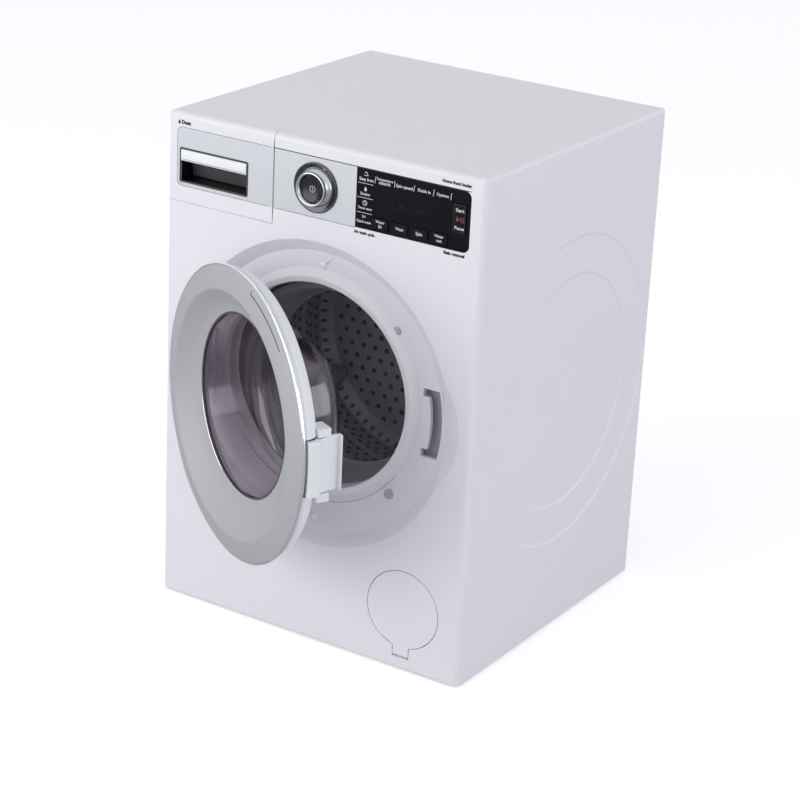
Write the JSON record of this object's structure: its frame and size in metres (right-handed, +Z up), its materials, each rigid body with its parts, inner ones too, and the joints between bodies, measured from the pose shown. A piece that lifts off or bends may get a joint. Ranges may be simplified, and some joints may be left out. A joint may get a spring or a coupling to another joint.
{
  "type": "toy washing machine",
  "caption": "Front-loading toy washing machine: hinged round door with clear bowl, geared drum, pull-out drawer, programme knob, keys, service flap and rear battery bay.",
  "frame": {"origin": "on the floor under the middle of the cabinet, at the face of the centre pad", "axes": "+Z up, +Y to the back, +X to the right seen from the front; the door stands open by 27.35 degrees at rest"},
  "size_m": [0.185, 0.2572, 0.262],
  "materials": {
    "white_shell": "smooth white moulded ABS, light gloss",
    "white_door": "smooth white moulded ABS",
    "white_lever": "smooth white moulded ABS",
    "foot_rubber": "matt soft rubber",
    "dark_plastic": "fine-grained dark grey plastic",
    "strike_grey": "plain grey plastic",
    "gasket_rubber": "satin dark grey elastomer",
    "drum_grey": "satin dark grey plastic",
    "bush_brass": "turned brass",
    "plate_steel": "zinc-plated sheet",
    "pin_steel": "ground steel",
    "screw_steel": "zinc-plated steel",
    "motor_can": "drawn steel can",
    "board_green": "solder-masked board",
    "module_black": "plain black plastic",
    "switch_metal": "pressed tin cover",
    "contact_nickel": "nickel-plated spring steel",
    "silver_panel": "horizontally brushed silver",
    "handle_silver": "satin silver",
    "display_black": "glossy near-black panel with white prints",
    "bezel_smoke": "dark chrome",
    "knob_chrome": "bright chrome with ribbed grip",
    "button_dark": "dark spun-metal look",
    "key_black": "glossy black with white print",
    "gear_nylon": "natural nylon",
    "ring_silver": "satin silver with a bright rim",
    "bowl_clear": "clear, slightly smoky moulding",
    "seal_black": "matt black rubber",
    "well_black": "dark grey recess"
  },
  "bodies": {
    "cabinet": {"cabinet_shell": "white_shell", "rear_panel": "white_shell", "base_plate": "white_shell", "rubber_feet": "foot_rubber", "tub": "dark_plastic", "shaft_bush": "bush_brass", "gear_plate": "plate_steel", "motor_plate": "plate_steel", "idler_pin": "pin_steel", "drive_motor": "motor_can", "control_board": "board_green", "display_module": "module_black", "selector_switch": "module_black", "key_switches": "switch_metal", "speaker": "module_black", "battery_box": "dark_plastic", "battery_contacts": "contact_nickel", "fascia_plate": "silver_panel", "display_panel": "display_black", "knob_bezel": "bezel_smoke", "latch_strike": "strike_grey", "door_gasket": "gasket_rubber", "drawer_housing": "dark_plastic", "fill_duct": "dark_plastic", "drain_tube": "dark_plastic", "hinge_bracket": "white_shell", "hinge_pin": "pin_steel", "case_screws": "screw_steel", "base_screws": "screw_steel", "inner_screws": "screw_steel"},
    "drum": {"drum_shell": "drum_grey", "drum_paddles": "drum_grey", "drum_shaft": "pin_steel", "drum_gear": "gear_nylon"},
    "idler": {"idler_gear": "gear_nylon"},
    "pinion": {"motor_pinion": "bush_brass"},
    "door": {"door_ring": "ring_silver", "door_frame": "white_door", "door_bowl": "bowl_clear", "bowl_seal": "seal_black", "latch_block": "white_door", "latch_pin": "pin_steel", "latch_spring": "pin_steel", "door_screws": "screw_steel"},
    "latch": {"latch_lever": "white_lever"},
    "drawer": {"drawer_front": "white_shell", "drawer_trim": "silver_panel", "drawer_handle": "handle_silver", "grip_well": "well_black", "drawer_tray": "white_door"},
    "knob": {"knob_ring": "knob_chrome"},
    "power_button": {"power_button": "button_dark"},
    "key_fill": {"key_fill": "key_black"},
    "key_wash": {"key_wash": "key_black"},
    "key_spin": {"key_spin": "key_black"},
    "key_drain": {"key_drain": "key_black"},
    "key_start": {"key_start": "key_black"},
    "service_flap": {"service_flap": "white_shell"},
    "battery_lid": {"battery_door": "white_shell", "battery_screw": "screw_steel"}
  },
  "joints": [
    {"name": "door_hinge", "type": "hinge", "parent": "cabinet", "child": "door", "pos_m": [-0.074, -0.0869, 0.133], "axis": [0, 0, -1], "range_deg": [-27.35, 50.65]},
    {"name": "latch_pivot", "type": "hinge", "parent": "door", "child": "latch", "pos_m": [0.05016, -0.15506, 0.1315], "axis": [0, 0, 1], "range_deg": [0, 8], "stiffness_Nm_per_rad": 0.05},
    {"name": "drum_spin", "type": "hinge", "parent": "cabinet", "child": "drum", "pos_m": [0, 0, 0.133], "axis": [0, 1, 0], "continuous": true},
    {"name": "idler_spin", "type": "hinge", "parent": "cabinet", "child": "idler", "pos_m": [0.02151, 0.047, 0.16372], "axis": [0, 1, 0], "continuous": true},
    {"name": "pinion_spin", "type": "hinge", "parent": "cabinet", "child": "pinion", "pos_m": [0.05049, 0.05, 0.17148], "axis": [0, 1, 0], "continuous": true},
    {"name": "drawer_slide", "type": "slide", "parent": "cabinet", "child": "drawer", "axis": [0, -1, 0], "range_m": [0, 0.045]},
    {"name": "knob_turn", "type": "hinge", "parent": "cabinet", "child": "knob", "pos_m": [-0.0025, -0.091, 0.2395], "axis": [0, -1, 0], "continuous": true},
    {"name": "power_press", "type": "slide", "parent": "cabinet", "child": "power_button", "axis": [0, 1, 0], "range_m": [0, 0.0006], "stiffness_N_per_m": 400},
    {"name": "fill_press", "type": "slide", "parent": "cabinet", "child": "key_fill", "axis": [0, 1, 0], "range_m": [0, 0.0006], "stiffness_N_per_m": 400},
    {"name": "wash_press", "type": "slide", "parent": "cabinet", "child": "key_wash", "axis": [0, 1, 0], "range_m": [0, 0.0006], "stiffness_N_per_m": 400},
    {"name": "spin_press", "type": "slide", "parent": "cabinet", "child": "key_spin", "axis": [0, 1, 0], "range_m": [0, 0.0006], "stiffness_N_per_m": 400},
    {"name": "drain_press", "type": "slide", "parent": "cabinet", "child": "key_drain", "axis": [0, 1, 0], "range_m": [0, 0.0006], "stiffness_N_per_m": 400},
    {"name": "start_press", "type": "slide", "parent": "cabinet", "child": "key_start", "axis": [0, 1, 0], "range_m": [0, 0.0006], "stiffness_N_per_m": 400},
    {"name": "flap_hinge", "type": "hinge", "parent": "cabinet", "child": "service_flap", "pos_m": [0.0584, -0.0874, 0.0083], "axis": [1, 0, 0], "range_deg": [0, 80]},
    {"name": "lid_hinge", "type": "hinge", "parent": "cabinet", "child": "battery_lid", "pos_m": [0, 0.087, 0.0251], "axis": [-1, 0, 0], "range_deg": [0, 95]}
  ],
  "couplings": [
    {"joint": "idler_spin", "follows": "drum_spin", "ratio": -4},
    {"joint": "pinion_spin", "follows": "drum_spin", "ratio": 12}
  ]
}
